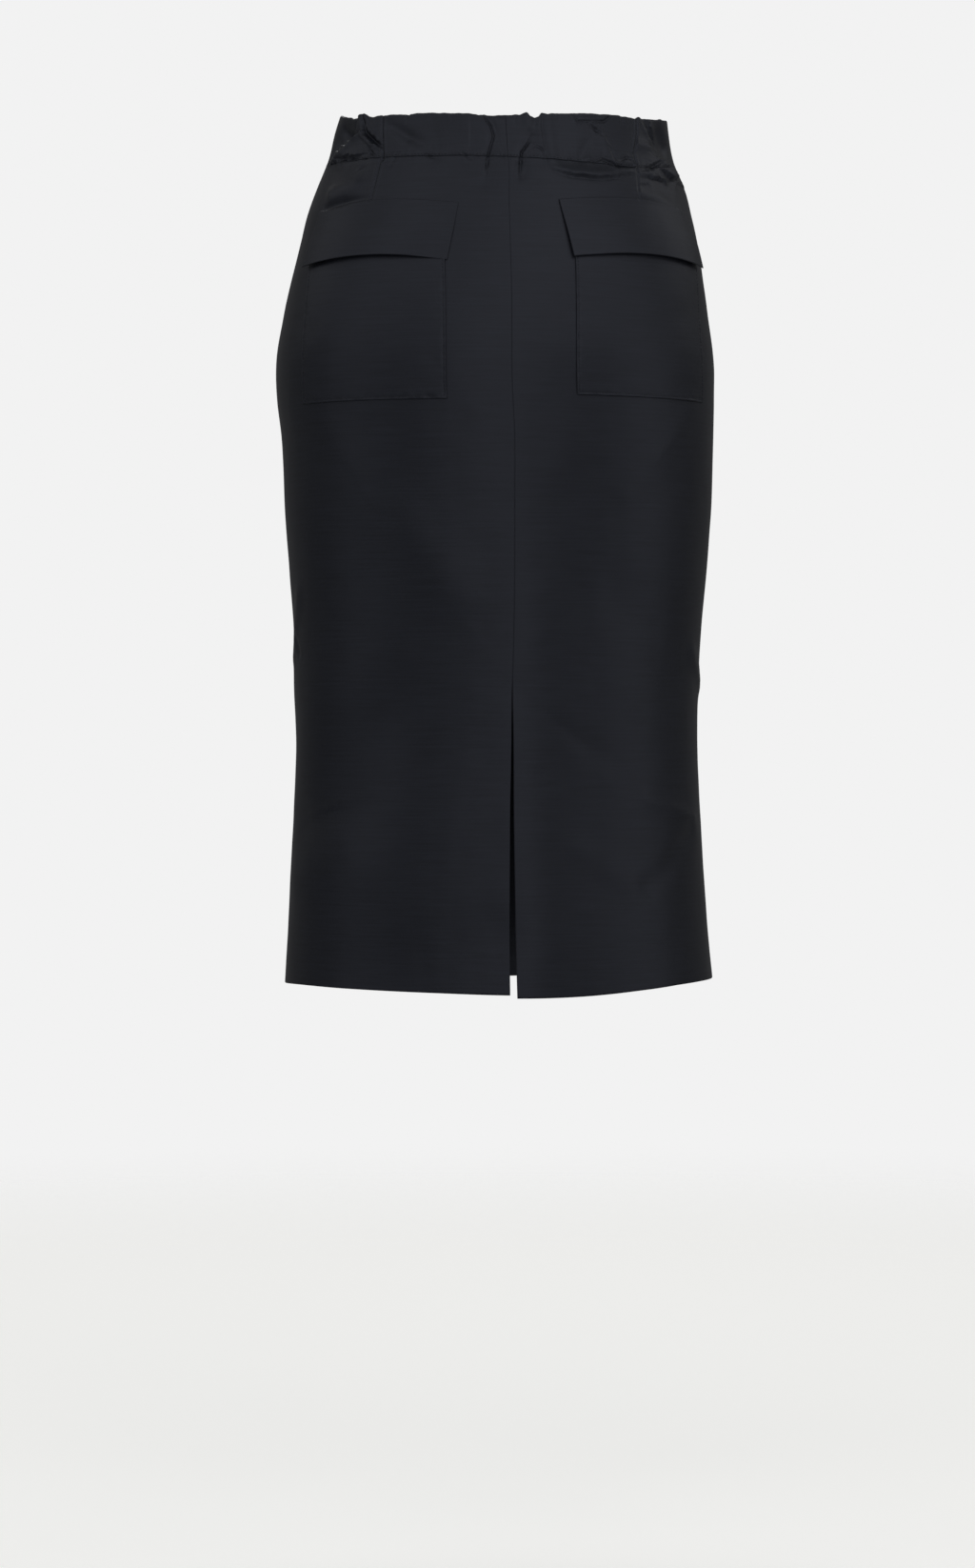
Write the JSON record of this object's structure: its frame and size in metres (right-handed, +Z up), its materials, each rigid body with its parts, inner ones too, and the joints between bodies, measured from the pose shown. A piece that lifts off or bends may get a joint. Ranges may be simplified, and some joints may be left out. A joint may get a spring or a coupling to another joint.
{
  "type": "satin skirt",
  "caption": "Straight dark satin midi skirt in its worn form: gathered elastic waist casing, back seam ending in a hem slit, flapped patch pockets on the back.",
  "frame": {"origin": "middle of the waist opening, level with its edge at the side seams", "axes": "+Z up the garment, +Y towards its back, +X towards the wearer's left"},
  "size_m": [0.368, 0.2511, 0.7305],
  "materials": {
    "satin": "satin",
    "thread": "matte"
  },
  "bodies": {
    "root": {"waist_casing_back_left": "satin", "waist_casing_back_right": "satin", "waist_casing_front": "satin", "back_panel_left": "satin", "back_panel_right": "satin", "front_panel": "satin", "pocket_left": "satin", "pocket_right": "satin", "pocket_flap_left": "satin", "pocket_flap_right": "satin"}
  },
  "joints": []
}
